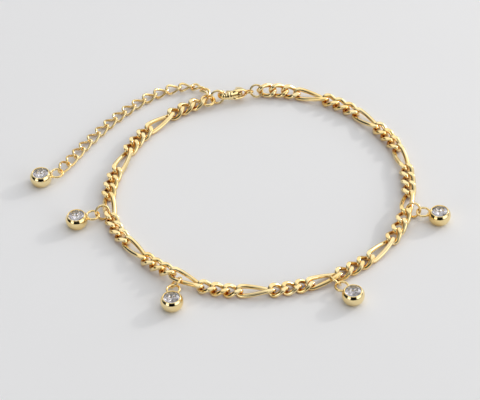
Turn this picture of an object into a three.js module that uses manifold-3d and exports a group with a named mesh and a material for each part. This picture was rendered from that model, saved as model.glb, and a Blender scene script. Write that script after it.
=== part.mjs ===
// A charm anklet that lies on a table: a figaro chain closed by a lobster clasp, a thin extension
// chain, and five round charms, each a bezel cup with a clear stone. Millimetres, +Z up.
// The chain is walked clockwise, seen from above, from the clasp's hook round to the catch ring.
import * as THREE from "three";
import { mergeVertices } from "three/addons/utils/BufferGeometryUtils.js";
import Module from "manifold-3d";

// Driving dimensions of the main chain
const CHAIN_WIRE = 1.05;
const SHORT_LINK_LENGTH = 5;
const SHORT_LINK_WIDTH = 3.6;
const LONG_LINK_LENGTH = 9.4;
const LONG_LINK_WIDTH = 3.3;
const LONG_LINKS = 12;
const SHORT_LINKS_IN_A_GROUP = 3;

// Driving dimensions of the extension chain
const EXTENSION_WIRE = 0.6;
const EXTENSION_WIDTH = 2.9;
const EXTENSION_LINK_LENGTH = 4.33;
const EXTENSION_LINKS = 16;

// Rings: the diameter over the wire, and the wire
const END_RING = { across: 3.8, wire: 0.65 };
const CATCH_RING = { across: 3.8, wire: 0.55 };
const CLASP_RING = { across: 3.4, wire: 0.5 };
const CHARM_RING = { across: 3.7, wire: 0.5 };
const SOLDERED_RING = { across: 3.4, wire: 0.5 };

// Driving dimensions of the charms
const CUP_DIAMETER = 5.25;
const CUP_HEIGHT = 3.2;
const CUP_FOOT_DIAMETER = 3.7;
const STONE_DIAMETER = 3.9;
const STONE_SEAT_GAP = 0.06;
const CUP_LIP = 0.09;
const CUP_FLOOR = 0.5;
const SOLDER_DEPTH = 0.3;

// Driving dimensions of the clasp
const CLASP_WIDTH = 4.2;
const CLASP_BODY_LENGTH = 7.3;
const CLASP_END_WIDTH = 2.0;
const CLASP_WALL = 0.95;
const HOOK_THICKNESS = 1.3;
const HOOK_BEVEL = 0.32;
const CHEEK_THICKNESS = 2.7;
const CHEEK_BEVEL = 0.5;
const CLASP_EYE_HOLE = 1.3;
const CLASP_EYE_WALL = 0.4;
const CLASP_EYE_THICKNESS = 0.55;
const LEVER_THICKNESS = 0.9;
const LEVER_SIDE_GAP = 0.1;
const LEVER_TIP_GAP = 0.3;
const LEVER_HUB_WALL = 0.37;
const PIN_DIAMETER = 0.7;
const PIN_GAP = 0.08;

// Wires are faceted with this many sides
const WIRE_SIDES = 5;

// How two pieces of one soldered chain meet, and how two separate pieces keep clear
const SOLDERED_OVERLAP = 0.12;
const RING_GAP = 0.12;
const HOOK_GAP = 0.32;
const HALVES_GAP = 0.3;
// A link is turned by this angle either way where it bears on its neighbours
const BEARING_TWIST = 45;
const CHAIN_HALVES_MEET_AFTER = 6;

// The loop's route on the table, clockwise from the clasp's hook, points chosen by hand
const LOOP_ROUTE = [
  [-2.9, 36.2], [1.0, 36.9], [5.0, 37.2], [8.7, 37.2], [12.5, 36.8], [19.8, 34.4], [26.5, 30.0],
  [32.1, 23.9], [36.4, 17.3], [38.8, 9.6], [39.3, 1.9], [38.3, -6.7], [35.6, -14.0], [30.8, -20.5],
  [24.4, -25.4], [16.8, -28.9], [8.4, -30.7], [1.2, -30.7], [-7.0, -29.3], [-13.9, -25.9],
  [-20.0, -20.8], [-24.9, -14.5], [-29.0, -7.6], [-30.6, 0.0], [-30.1, 7.5], [-27.3, 15.2],
  [-23.7, 22.6], [-18.5, 28.5], [-12.2, 33.0], [-7.8, 34.8],
];

// The extension's route, from the middle of the end ring to the first charm's soldered ring
const EXTENSION_ROUTE = [
  [-6.0, 34.9], [-6.3, 38.1], [-8.2, 40.1], [-11.0, 40.9], [-14.0, 40.6], [-19.4, 38.4], [-24.9, 34.2],
  [-29.1, 30.1], [-33.0, 25.3], [-36.5, 20.7], [-39.0, 16.4], [-42.0, 12.3],
];

// Charms on the main chain: the long link, counted from the clasp, that each hangs on, the end of
// that link (1 is the end farther along the chain), and the angles that the jump ring and the
// charm turn from straight outward, in degrees. ringLean is the angle of the jump ring to the table.
const CHARMS = [
  { number: 2, link: 10, end: -1, ringTurn: 10, charmTurn: 16, ringLean: -56 },
  { number: 3, link: 8, end: 1, ringTurn: 4.5, charmTurn: 26, ringLean: 46 },
  { number: 4, link: 6, end: -1, ringTurn: 14, charmTurn: 16, ringLean: -56 },
  { number: 5, link: 4, end: 1, ringTurn: -10, charmTurn: -14, ringLean: 50 },
];
// The chain rides over a jump ring that goes under its low outer wire, and comes down again
// along the group of short links after it
const RIDE_OVER_RING = 1.02;
// The first charm, on the extension's last link: its direction on the table
const FIRST_CHARM_DIRECTION = 199;

// Heights above the table, and how far the rings and the first links lean, in degrees
const HOOK_HEIGHT = 2.15;
const EYE_HEIGHT = 1.84;
const CLASP_RING_FAR_HEIGHT = 1.92;
const END_RING_HEIGHT = 1.46;
const CLASP_LEAN = 156;
const CLASP_RING_LEAN = 52;
const CATCH_RING_LEAN = 73;
const END_RING_LEAN = 8;
const CLASP_END_LINKS = [{ lean: 61, rise: 0.7 }, { lean: 42, rise: 0.55 }, { lean: 21, rise: 0.38 }];
const RING_END_LINKS = [{ lean: -8, rise: 0.26 }, { lean: -5, rise: 0.16 }, { lean: -3, rise: 0.07 }];
const EXTENSION_ENDS = [{ lean: 46, rise: 0.74 }, { lean: 30, rise: 0.45 }, { lean: 15, rise: 0.2 }];
const SOLDERED_RING_HEIGHT = 1.54;

const GOLD = { color: 0xe0b040, roughness: 0.18, metalness: 1 };
const STONE = { color: 0xdcdce4, roughness: 0.05, metalness: 0 };

const UP = new THREE.Vector3(0, 0, 1);
const wasm = await Module();
wasm.setup();

const radians = (degrees) => THREE.MathUtils.degToRad(degrees);

// Solids

function toSolid(geometry) {
  const bare = geometry.clone();
  bare.deleteAttribute("normal");
  bare.deleteAttribute("uv");
  const merged = mergeVertices(bare, 1e-5);
  return new wasm.Manifold(new wasm.Mesh({
    numProp: 3,
    vertProperties: new Float32Array(merged.attributes.position.array),
    triVerts: new Uint32Array(merged.index.array),
  }));
}

function toGeometry(solid) {
  const mesh = solid.getMesh();
  const geometry = new THREE.BufferGeometry();
  geometry.setAttribute("position", new THREE.BufferAttribute(new Float32Array(mesh.vertProperties), 3));
  geometry.setIndex(new THREE.BufferAttribute(new Uint32Array(mesh.triVerts), 1));
  geometry.computeVertexNormals();
  return geometry;
}

function fuse(geometries) {
  return toGeometry(geometries.map(toSolid).reduce((whole, next) => whole.add(next)));
}

function makeMesh(name, geometry, look) {
  const mesh = new THREE.Mesh(geometry, new THREE.MeshStandardMaterial(look));
  mesh.name = name;
  return mesh;
}

// Wire: a closed tube through sections, each with its centre and the normal of the link's own plane
function closedWire(sections, wire) {
  const positions = [];
  const indices = [];
  const count = sections.length;
  sections.forEach((section, i) => {
    const before = sections[(i + count - 1) % count].centre;
    const after = sections[(i + 1) % count].centre;
    const along = after.clone().sub(before).normalize();
    const across = along.clone().cross(section.normal).normalize();
    const over = across.clone().cross(along);
    for (let k = 0; k < WIRE_SIDES; k += 1) {
      const angle = (2 * Math.PI * (k + 0.5)) / WIRE_SIDES;
      const point = section.centre.clone()
        .addScaledVector(across, (wire / 2) * Math.cos(angle))
        .addScaledVector(over, (wire / 2) * Math.sin(angle));
      positions.push(point.x, point.y, point.z);
    }
  });
  for (let i = 0; i < count; i += 1) {
    for (let k = 0; k < WIRE_SIDES; k += 1) {
      const a = i * WIRE_SIDES + k;
      const b = i * WIRE_SIDES + ((k + 1) % WIRE_SIDES);
      const c = ((i + 1) % count) * WIRE_SIDES + k;
      const d = ((i + 1) % count) * WIRE_SIDES + ((k + 1) % WIRE_SIDES);
      indices.push(a, c, b, b, c, d);
    }
  }
  const geometry = new THREE.BufferGeometry();
  geometry.setAttribute("position", new THREE.BufferAttribute(new Float32Array(positions), 3));
  geometry.setIndex(indices);
  return geometry;
}

// Links: a long round outline in the link's plane, which is then twisted along its length.
// halfLength and halfWidth are those of the wire's centre line.
function linkShape(length, width, wire, steps) {
  const halfLength = (length - wire) / 2;
  const halfWidth = (width - wire) / 2;
  return { halfLength, halfWidth, wire, steps, twist: BEARING_TWIST, reach: halfLength - wire / 2 };
}

function ringShape(ring) {
  const radius = (ring.across - ring.wire) / 2;
  const reach = radius - ring.wire / 2;
  const steps = { round: 6, straight: 1 };
  return { halfLength: radius, halfWidth: radius, wire: ring.wire, steps, twist: 0, reach };
}

function outlinePoints(shape) {
  const straight = shape.halfLength - shape.halfWidth;
  const points = [];
  for (const side of [1, -1]) {
    for (let i = 0; i <= shape.steps.round; i += 1) {
      const angle = Math.PI * (i / shape.steps.round - 0.5);
      points.push([
        side * (straight + shape.halfWidth * Math.cos(angle)),
        side * shape.halfWidth * Math.sin(angle),
      ]);
    }
    for (let i = 1; i < shape.steps.straight; i += 1) {
      points.push([side * straight * (1 - (2 * i) / shape.steps.straight), side * shape.halfWidth]);
    }
  }
  const apart = (a, b) => Math.hypot(a[0] - b[0], a[1] - b[1]);
  return points.filter((point, i) => apart(point, points[(i + 1) % points.length]) > 1e-6);
}

function linkPoint(shape, x, w) {
  const turn = radians(-shape.twist * (x / shape.reach));
  return {
    centre: new THREE.Vector3(x, w * Math.cos(turn), w * Math.sin(turn)),
    normal: new THREE.Vector3(0, -Math.sin(turn), Math.cos(turn)),
  };
}

function linkGeometry(shape) {
  return closedWire(outlinePoints(shape).map(([x, w]) => linkPoint(shape, x, w)), shape.wire);
}

function restHeight(shape) {
  const lowest = Math.min(...outlinePoints(shape).map(([x, w]) => linkPoint(shape, x, w).centre.z));
  return shape.wire / 2 - lowest;
}

// Frames: X along the chain, Y outward from the loop and leaned about X, in degrees
function frameAlong(from, to, lean) {
  const along = to.clone().sub(from).normalize();
  const outward = UP.clone().cross(along).normalize();
  const over = along.clone().cross(outward);
  const frame = new THREE.Matrix4().makeBasis(along, outward, over);
  frame.multiply(new THREE.Matrix4().makeRotationX(radians(lean)));
  frame.setPosition(from.clone().add(to).multiplyScalar(0.5));
  return frame;
}

function place(object, frame) {
  frame.decompose(object.position, object.quaternion, object.scale);
  return object;
}

// The loop's items in order. span is the free length inside the item, between its two bearings.
const shortLink = linkShape(
  SHORT_LINK_LENGTH, SHORT_LINK_WIDTH, CHAIN_WIRE, { round: 4, straight: 1 },
);
const longLink = linkShape(LONG_LINK_LENGTH, LONG_LINK_WIDTH, CHAIN_WIRE, { round: 4, straight: 3 });
const extensionLink = linkShape(
  EXTENSION_LINK_LENGTH, EXTENSION_WIDTH, EXTENSION_WIRE, { round: 4, straight: 1 },
);
const endRing = ringShape(END_RING);
const catchRing = ringShape(CATCH_RING);
const claspRing = ringShape(CLASP_RING);
const charmRing = ringShape(CHARM_RING);
const solderedRing = ringShape(SOLDERED_RING);

const eyeCentre = CLASP_BODY_LENGTH + CLASP_EYE_HOLE / 2;
const claspSpan = eyeCentre + CLASP_EYE_HOLE / 2 - CLASP_WALL;
const chainHeight = Math.max(restHeight(shortLink), restHeight(longLink));

// The short links nearest the clasp and the end ring lean over and rise to their rings' height
function leanNearEnds(group, i) {
  const near = (links, place) => links[place] ?? { lean: 0, rise: 0 };
  const heightAt = (links, place) => chainHeight + near(links, place).rise;
  const links = group === 0 ? CLASP_END_LINKS : RING_END_LINKS;
  const fromEnd = SHORT_LINKS_IN_A_GROUP - 1 - i;
  if (group === 0) {
    return { lean: near(links, i).lean, startHeight: heightAt(links, i), endHeight: heightAt(links, i + 1) };
  }
  if (group === LONG_LINKS) {
    const startHeight = heightAt(links, fromEnd + 1);
    return { lean: near(links, fromEnd).lean, startHeight, endHeight: heightAt(links, fromEnd) };
  }
  return {};
}

function loopItems() {
  const items = [
    { kind: "clasp", span: claspSpan, startHeight: HOOK_HEIGHT, endHeight: EYE_HEIGHT },
    {
      kind: "clasp_ring", shape: claspRing, lean: CLASP_RING_LEAN,
      startHeight: EYE_HEIGHT, endHeight: CLASP_RING_FAR_HEIGHT,
    },
  ];
  for (let group = 0; group <= LONG_LINKS; group += 1) {
    const node = group < CHAIN_HALVES_MEET_AFTER ? "chain_right" : "chain_left";
    if (group > 0) {
      const owner = group <= CHAIN_HALVES_MEET_AFTER ? "chain_right" : "chain_left";
      items.push({ kind: "link", shape: longLink, node: owner, long: group });
    }
    for (let i = 0; i < SHORT_LINKS_IN_A_GROUP; i += 1) {
      items.push({ kind: "link", shape: shortLink, node, ...leanNearEnds(group, i) });
    }
  }
  items.push({
    kind: "end_ring", shape: endRing, lean: END_RING_LEAN,
    startHeight: END_RING_HEIGHT, endHeight: END_RING_HEIGHT,
  });
  items.push({
    kind: "catch_ring", shape: catchRing, lean: CATCH_RING_LEAN,
    startHeight: END_RING_HEIGHT, endHeight: HOOK_HEIGHT,
  });
  return items.map((item) => ({
    lean: 0,
    startHeight: chainHeight,
    endHeight: chainHeight,
    span: item.shape ? 2 * item.shape.reach : item.span,
    ...item,
  }));
}

function rideOverRings(items) {
  for (const charm of CHARMS.filter(({ end }) => end === 1)) {
    const index = items.findIndex((item) => item.long === charm.link);
    items[index].endHeight += RIDE_OVER_RING;
    for (let i = 1; i <= SHORT_LINKS_IN_A_GROUP; i += 1) {
      items[index + i].startHeight += RIDE_OVER_RING * (1 - (i - 1) / SHORT_LINKS_IN_A_GROUP);
      items[index + i].endHeight += RIDE_OVER_RING * (1 - i / SHORT_LINKS_IN_A_GROUP);
    }
  }
}

// Two links of one node are soldered where they bear, and any other pair keeps a gap
function bearing(item, next) {
  if (item.node && next.node) return item.node === next.node ? SOLDERED_OVERLAP : -HALVES_GAP;
  return item.kind === "catch_ring" ? -HOOK_GAP : -RING_GAP;
}

function walkLoop() {
  const items = loopItems();
  rideOverRings(items);
  let length = 0;
  items.forEach((item, i) => {
    item.start = length;
    length += item.span + bearing(item, items[(i + 1) % items.length]);
  });
  const chosen = LOOP_ROUTE.map(([x, y]) => new THREE.Vector3(x, y, 0));
  const route = new THREE.CatmullRomCurve3(chosen, true, "centripetal");
  route.arcLengthDivisions = 2000;
  const spread = length / route.getLength();
  const pointAt = (s) => route.getPointAt((s / length) % 1).multiplyScalar(spread);
  for (const item of items) {
    const from = pointAt(item.start).setZ(item.startHeight);
    const to = pointAt(item.start + item.span).setZ(item.endHeight);
    item.frame = frameAlong(from, to, item.lean);
  }
  return items;
}

function chainNode(name, items) {
  const links = items.filter((item) => item.node === name)
    .map((item) => linkGeometry(item.shape).applyMatrix4(item.frame));
  return makeMesh(name, fuse(links), GOLD);
}

function ringNode(name, shape, frame) {
  return place(makeMesh(name, linkGeometry(shape), GOLD), frame);
}

// Extension chain: walked from the end ring's outer side along its own route
function walkExtension(ringCentre) {
  const chosen = EXTENSION_ROUTE.map(([x, y]) => new THREE.Vector3(x, y, 0));
  const route = new THREE.CatmullRomCurve3(chosen, false, "centripetal");
  route.arcLengthDivisions = 2000;
  const first = endRing.reach - RING_GAP;
  const pitch = 2 * extensionLink.reach + SOLDERED_OVERLAP;
  const last = first + EXTENSION_LINKS * pitch - SOLDERED_OVERLAP;
  const length = last - RING_GAP + solderedRing.reach;
  const spread = length / route.getLength();
  const shift = ringCentre.clone().setZ(0).addScaledVector(chosen[0], -spread);
  const pointAt = (s) => route.getPointAt(s / length).multiplyScalar(spread).add(shift);
  const frames = [];
  for (let i = 0; i < EXTENSION_LINKS; i += 1) {
    const start = first + i * pitch;
    const nearStart = EXTENSION_ENDS[i];
    const nearEnd = EXTENSION_ENDS[EXTENSION_LINKS - 1 - i];
    const riseOf = (place) => restHeight(extensionLink) + (EXTENSION_ENDS[place]?.rise ?? 0);
    const startHeight = nearEnd ? riseOf(EXTENSION_LINKS - i) : riseOf(i);
    const endHeight = nearEnd ? riseOf(EXTENSION_LINKS - 1 - i) : riseOf(i + 1);
    const from = pointAt(start).setZ(startHeight);
    const to = pointAt(start + 2 * extensionLink.reach).setZ(endHeight);
    frames.push(frameAlong(from, to, (nearStart?.lean ?? 0) - (nearEnd?.lean ?? 0)));
  }
  return { frames, end: pointAt(length) };
}

// Charms: a cup that is a ball cut flat at its foot and its mouth, with a ring soldered to its side
const cupWidest = (() => {
  const rise = (CUP_DIAMETER ** 2 - CUP_FOOT_DIAMETER ** 2) ** 0.5 / 2;
  return Math.min(rise, CUP_HEIGHT * 0.7);
})();
const cupRadiusAt = (z) => Math.sqrt((CUP_DIAMETER / 2) ** 2 - (z - cupWidest) ** 2);
const girdleRadius = STONE_DIAMETER / 2;
const stone = {
  table: 0.57 * girdleRadius,
  crown: 0.3 * girdleRadius,
  pavilion: 0.84 * girdleRadius,
  girdle: 0.04 * girdleRadius,
};
const girdleHeight = CUP_HEIGHT - 0.16 * girdleRadius;

function cupGeometry() {
  const wall = [];
  const steps = 4;
  for (let i = 0; i <= steps; i += 1) {
    const z = (CUP_HEIGHT * i) / steps;
    wall.push(new THREE.Vector2(cupRadiusAt(z), z));
  }
  const seat = girdleRadius + STONE_SEAT_GAP;
  const pit = girdleHeight - stone.pavilion - STONE_SEAT_GAP * 1.5;
  const profile = [
    new THREE.Vector2(0, 0),
    ...wall,
    new THREE.Vector2(girdleRadius - CUP_LIP, CUP_HEIGHT),
    new THREE.Vector2(seat, girdleHeight + stone.girdle + STONE_SEAT_GAP),
    new THREE.Vector2(seat, girdleHeight - STONE_SEAT_GAP),
    new THREE.Vector2(0, Math.max(pit, CUP_FLOOR)),
  ];
  return new THREE.LatheGeometry(profile, 16).rotateX(Math.PI / 2);
}

function settingGeometry() {
  const radius = solderedRing.halfLength;
  const reach = cupRadiusAt(SOLDERED_RING_HEIGHT) + solderedRing.wire / 2 + radius - SOLDER_DEPTH;
  const ring = linkGeometry(solderedRing).translate(-reach, 0, SOLDERED_RING_HEIGHT);
  return { geometry: fuse([cupGeometry(), ring]), reach };
}

// A round brilliant: table, eight star and kite facets, a girdle of sixteen sides, eight main facets
function stoneGeometry() {
  const points = [];
  const ring = (count, radius, z, turn) => Array.from({ length: count }, (_, i) => {
    const angle = (2 * Math.PI * (i + turn)) / count;
    points.push(new THREE.Vector3(radius * Math.cos(angle), radius * Math.sin(angle), z));
    return points.length - 1;
  });
  const shoulder = { radius: 0.8 * girdleRadius, rise: 0.62 * stone.crown };
  const table = ring(8, stone.table, girdleHeight + stone.girdle + stone.crown, 0);
  const kite = ring(8, shoulder.radius, girdleHeight + stone.girdle + shoulder.rise, 0.5);
  const upper = ring(16, girdleRadius, girdleHeight + stone.girdle, 0);
  const lower = ring(16, girdleRadius, girdleHeight, 0);
  const belly = ring(8, 0.42 * girdleRadius, girdleHeight - 0.56 * stone.pavilion, 0.5);
  points.push(new THREE.Vector3(0, 0, girdleHeight - stone.pavilion));
  const culet = points.length - 1;
  const faces = [];
  for (let i = 0; i < 8; i += 1) {
    const next = (i + 1) % 8;
    const before = (i + 7) % 8;
    const a = 2 * i;
    const b = 2 * i + 1;
    const c = (2 * i + 2) % 16;
    faces.push([table[i], kite[i], table[next]]);
    faces.push([table[i], kite[before], upper[a]], [table[i], upper[a], kite[i]]);
    faces.push([kite[i], upper[a], upper[b]], [kite[i], upper[b], upper[c]]);
    faces.push([lower[a], belly[i], lower[b]], [lower[b], belly[i], lower[c]]);
    faces.push([lower[a], belly[before], belly[i]], [belly[i], belly[before], culet]);
    if (i > 0 && i < 7) faces.push([table[0], table[i], table[next]]);
  }
  for (let i = 0; i < 16; i += 1) {
    const next = (i + 1) % 16;
    faces.push([upper[i], lower[i], lower[next]], [upper[i], lower[next], upper[next]]);
  }
  const geometry = new THREE.BufferGeometry().setFromPoints(points);
  geometry.setIndex(faces.flat());
  return geometry;
}

function addCharm(group, number, ringPoint, direction) {
  const setting = settingGeometry();
  const outward = new THREE.Vector3(Math.cos(direction), Math.sin(direction), 0);
  const charm = new THREE.Group();
  charm.position.copy(ringPoint).setZ(0).addScaledVector(outward, setting.reach);
  charm.rotation.z = direction;
  charm.add(makeMesh(`setting_${number}`, setting.geometry, GOLD));
  charm.add(makeMesh(`stone_${number}`, stoneGeometry(), STONE));
  group.add(charm);
}

// A jump ring round the outer wire of a long link, and the charm that hangs on it
function addHangingCharm(group, charm, items) {
  const link = items.find((item) => item.long === charm.link);
  const along = charm.end * (longLink.reach - CHAIN_WIRE - 1.5 * charmRing.wire);
  const wire = linkPoint(longLink, along, longLink.halfWidth).centre.applyMatrix4(link.frame);
  const outward = new THREE.Vector3(0, 1, 0).transformDirection(link.frame);
  const heading = Math.atan2(outward.y, outward.x);
  const ringHeading = heading + radians(charm.ringTurn);
  const toRing = new THREE.Vector3(Math.cos(ringHeading), Math.sin(ringHeading), 0);
  const inner = charmRing.reach - RING_GAP;
  const far = wire.clone().addScaledVector(toRing, 2 * inner - CHAIN_WIRE / 2 - solderedRing.wire / 2);
  const middle = wire.clone().addScaledVector(toRing, inner - CHAIN_WIRE / 2);
  const stands = charmRing.halfLength * Math.sin(radians(Math.abs(charm.ringLean)));
  middle.setZ(stands + charmRing.wire / 2);
  const frame = frameAlong(middle.clone().sub(toRing), middle.clone().add(toRing), charm.ringLean);
  group.add(ringNode(`charm_ring_${charm.number}`, charmRing, frame));
  const charmHeading = heading + radians(charm.charmTurn);
  const toCharm = new THREE.Vector3(Math.cos(charmHeading), Math.sin(charmHeading), 0);
  addCharm(group, charm.number, far.addScaledVector(toCharm, solderedRing.halfLength), charmHeading);
}

// Clasp: X from the hook to the eye, Y toward the back that faces the viewer, Z across.
// Its inner places are shares of the body's length and of the head's radius, chosen by hand.
const headRadius = CLASP_WIDTH / 2;
const endRadius = CLASP_END_WIDTH / 2;
const bodyEnd = { x: CLASP_BODY_LENGTH - endRadius, radius: endRadius };
const hollowEnd = { x: 0.56 * CLASP_BODY_LENGTH, radius: 0.65 * (headRadius - CLASP_WALL) };
const cheekRadius = 0.84 * headRadius;
const slot = {
  start: 0.45 * CLASP_BODY_LENGTH,
  end: bodyEnd.x + 0.4 * endRadius,
  point: 0.14 * CLASP_BODY_LENGTH,
  halfWidth: LEVER_THICKNESS / 2 + LEVER_SIDE_GAP,
};
const gate = { start: headRadius, end: 0.64 * CLASP_BODY_LENGTH };
const pivot = { x: 0.726 * CLASP_BODY_LENGTH, y: -0.12 * headRadius };
const hubRadius = PIN_DIAMETER / 2 + PIN_GAP + LEVER_HUB_WALL;

// The outline round two circles on the X axis
function taperedOutline(x1, radius1, x2, radius2) {
  const turn = Math.acos((radius1 - radius2) / (x2 - x1));
  const shape = new THREE.Shape();
  shape.absarc(x1, 0, radius1, turn, 2 * Math.PI - turn, false);
  shape.absarc(x2, 0, radius2, -turn, turn, false);
  return shape;
}

function plate(shape, thickness, bevel, curveSegments) {
  const geometry = new THREE.ExtrudeGeometry(shape, {
    depth: thickness - 2 * bevel,
    bevelEnabled: bevel > 0,
    bevelSize: bevel,
    bevelOffset: -bevel,
    bevelThickness: bevel,
    bevelSegments: 1,
    curveSegments,
  });
  return toSolid(geometry.translate(0, 0, bevel - thickness / 2));
}

function boxBetween(x1, x2, y1, y2, thickness) {
  const box = new THREE.BoxGeometry(x2 - x1, y2 - y1, thickness);
  return toSolid(box.translate((x1 + x2) / 2, (y1 + y2) / 2, 0));
}

function polygonPlate(corners, thickness) {
  return plate(new THREE.Shape(corners.map(([x, y]) => new THREE.Vector2(x, y))), thickness, 0, 1);
}

function pinGeometry(radius, length) {
  const cylinder = new THREE.CylinderGeometry(radius, radius, length, 10);
  return cylinder.rotateX(Math.PI / 2).translate(pivot.x, pivot.y, 0);
}

function disc(x, y, radius) {
  return new THREE.Shape().absarc(x, y, radius, 0, 2 * Math.PI, false);
}

function claspBodyGeometry() {
  const outline = taperedOutline(headRadius, headRadius, bodyEnd.x, bodyEnd.radius);
  const inside = taperedOutline(headRadius, headRadius - CLASP_WALL, hollowEnd.x, hollowEnd.radius);
  const through = 2 * Math.max(CHEEK_THICKNESS, CLASP_WIDTH);
  outline.holes.push(inside);
  const claw = plate(outline, HOOK_THICKNESS, HOOK_BEVEL, 6);
  const cheekOutline = taperedOutline(hollowEnd.x, cheekRadius, bodyEnd.x, bodyEnd.radius);
  const cheeks = plate(cheekOutline, CHEEK_THICKNESS, CHEEK_BEVEL, 5);
  const eye = plate(disc(eyeCentre, 0, CLASP_EYE_HOLE / 2 + CLASP_EYE_WALL), CLASP_EYE_THICKNESS, 0, 8);
  const eyeHole = plate(disc(eyeCentre, 0, CLASP_EYE_HOLE / 2), through, 0, 8);
  const hollow = plate(inside, through, 0, 6);
  const mouth = boxBetween(gate.start, gate.end, -through, 0, through);
  const slotShoulder = slot.start + slot.point;
  const slotStart = slotShoulder - 0.1 * slot.point;
  const slotCut = boxBetween(slotStart, slot.end, -through, through, 2 * slot.halfWidth);
  const slotPoint = polygonPlate([
    [slot.start, 0], [slotShoulder, -slot.halfWidth], [slotShoulder, slot.halfWidth],
  ], through).rotate([90, 0, 0]);
  const pin = toSolid(pinGeometry(PIN_DIAMETER / 2, CHEEK_THICKNESS * 0.8));
  const body = claw.add(cheeks).add(eye).subtract(hollow).subtract(mouth)
    .subtract(slotCut).subtract(slotPoint).subtract(eyeHole).add(pin);
  return toGeometry(body);
}

// The lever: a hub on the pin, an arm to the hook's tip and a thumb nub on the back
function claspLeverGeometry() {
  const tip = gate.start + LEVER_TIP_GAP;
  const hub = plate(disc(pivot.x, pivot.y, hubRadius), LEVER_THICKNESS, 0, 8);
  const arm = polygonPlate([
    [tip, -0.88 * headRadius], [tip + 0.3 * headRadius, -0.85 * headRadius],
    [pivot.x, pivot.y - hubRadius], [pivot.x, pivot.y + 0.4 * hubRadius],
    [gate.end - 0.4 * hubRadius, -0.34 * headRadius], [tip, -0.52 * headRadius],
  ], LEVER_THICKNESS);
  const nub = polygonPlate([
    [pivot.x - 0.56 * hubRadius, pivot.y], [pivot.x + 0.56 * hubRadius, pivot.y],
    [pivot.x + 0.38 * hubRadius, 0.9 * headRadius], [pivot.x - 0.31 * hubRadius, 0.9 * headRadius],
  ], LEVER_THICKNESS);
  const hole = toSolid(pinGeometry(PIN_DIAMETER / 2 + PIN_GAP, 2 * LEVER_THICKNESS));
  return toGeometry(hub.add(arm).add(nub).subtract(hole));
}

function claspFrame(item) {
  const frame = item.frame.clone();
  frame.multiply(new THREE.Matrix4().makeRotationX(radians(CLASP_LEAN)));
  frame.multiply(new THREE.Matrix4().makeTranslation(-(CLASP_WALL + claspSpan / 2), 0, 0));
  return frame;
}

// The whole anklet
const items = walkLoop();
const itemOf = (kind) => items.find((item) => item.kind === kind);
const anklet = new THREE.Group();
anklet.add(chainNode("chain_right", items));
anklet.add(chainNode("chain_left", items));
for (const kind of ["end_ring", "catch_ring", "clasp_ring"]) {
  anklet.add(ringNode(kind, itemOf(kind).shape, itemOf(kind).frame));
}

const clasp = place(new THREE.Group(), claspFrame(itemOf("clasp")));
clasp.add(makeMesh("clasp_body", claspBodyGeometry(), GOLD));
clasp.add(makeMesh("clasp_lever", claspLeverGeometry(), GOLD));
anklet.add(clasp);

const extension = walkExtension(new THREE.Vector3().setFromMatrixPosition(itemOf("end_ring").frame));
anklet.add(makeMesh("extension_chain", fuse(extension.frames.map(
  (frame) => linkGeometry(extensionLink).applyMatrix4(frame),
)), GOLD));
addCharm(anklet, 1, extension.end, radians(FIRST_CHARM_DIRECTION));
for (const charm of CHARMS) {
  addHangingCharm(anklet, charm, items);
}

// The origin is under the middle of the whole anklet's box, on the table
anklet.updateMatrixWorld(true);
const box = new THREE.Box3().setFromObject(anklet, true);
anklet.position.set(-(box.min.x + box.max.x) / 2, -(box.min.y + box.max.y) / 2, -box.min.z);

export default anklet;
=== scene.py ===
"""A charm anklet lying closed on a table: a figaro chain, a lobster clasp, a thin extension chain
and round charms, each a bezel cup with a clear stone. The CAD solids are facets; this script gives
every piece its fine metal or its cut stone, in the same place. Millimetres until a mesh is made."""
import math

import bpy
import numpy as np
from mathutils import Matrix, Vector


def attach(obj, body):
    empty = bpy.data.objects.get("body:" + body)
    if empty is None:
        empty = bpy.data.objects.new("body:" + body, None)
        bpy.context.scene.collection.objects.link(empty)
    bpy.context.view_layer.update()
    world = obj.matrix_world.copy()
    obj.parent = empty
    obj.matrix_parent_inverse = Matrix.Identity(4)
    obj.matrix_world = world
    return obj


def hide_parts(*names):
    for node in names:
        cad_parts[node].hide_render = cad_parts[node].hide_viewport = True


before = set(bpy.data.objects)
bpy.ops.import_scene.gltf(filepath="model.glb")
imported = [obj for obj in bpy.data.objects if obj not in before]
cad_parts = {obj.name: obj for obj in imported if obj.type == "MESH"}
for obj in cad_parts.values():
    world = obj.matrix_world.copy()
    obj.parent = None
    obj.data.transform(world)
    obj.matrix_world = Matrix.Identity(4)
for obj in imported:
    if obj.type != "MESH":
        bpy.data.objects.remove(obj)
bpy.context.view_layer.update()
MM = 0.001

# The camera: a long lens that looks down on the anklet from the front. The loop's ellipse and the
# level rims of the cups gave its height, and a slight roll makes the anklet fall to the right.
CAMERA_LENS = 195.0
CAMERA_SENSOR = 36.0
CAMERA_DISTANCE = 614.1
CAMERA_ELEVATION = 42.86
CAMERA_ROLL = -3.67
CAMERA_TARGET = Vector((0.502, -2.084, 0.0))

camera_data = bpy.data.cameras.new("camera")
camera_data.lens = CAMERA_LENS
camera_data.sensor_width = CAMERA_SENSOR
camera_data.clip_start = 0.01
camera_data.clip_end = 20.0
camera = bpy.data.objects.new("camera", camera_data)
bpy.context.scene.collection.objects.link(camera)
bpy.context.scene.camera = camera
elevation = math.radians(CAMERA_ELEVATION)
away = Vector((0, -math.cos(elevation), math.sin(elevation))) * CAMERA_DISTANCE
camera.matrix_world = (
    Matrix.Translation((CAMERA_TARGET + away) * MM)
    @ Matrix.Rotation(math.radians(90 - CAMERA_ELEVATION), 4, "X")
    @ Matrix.Rotation(math.radians(CAMERA_ROLL), 4, "Z")
)

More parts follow.
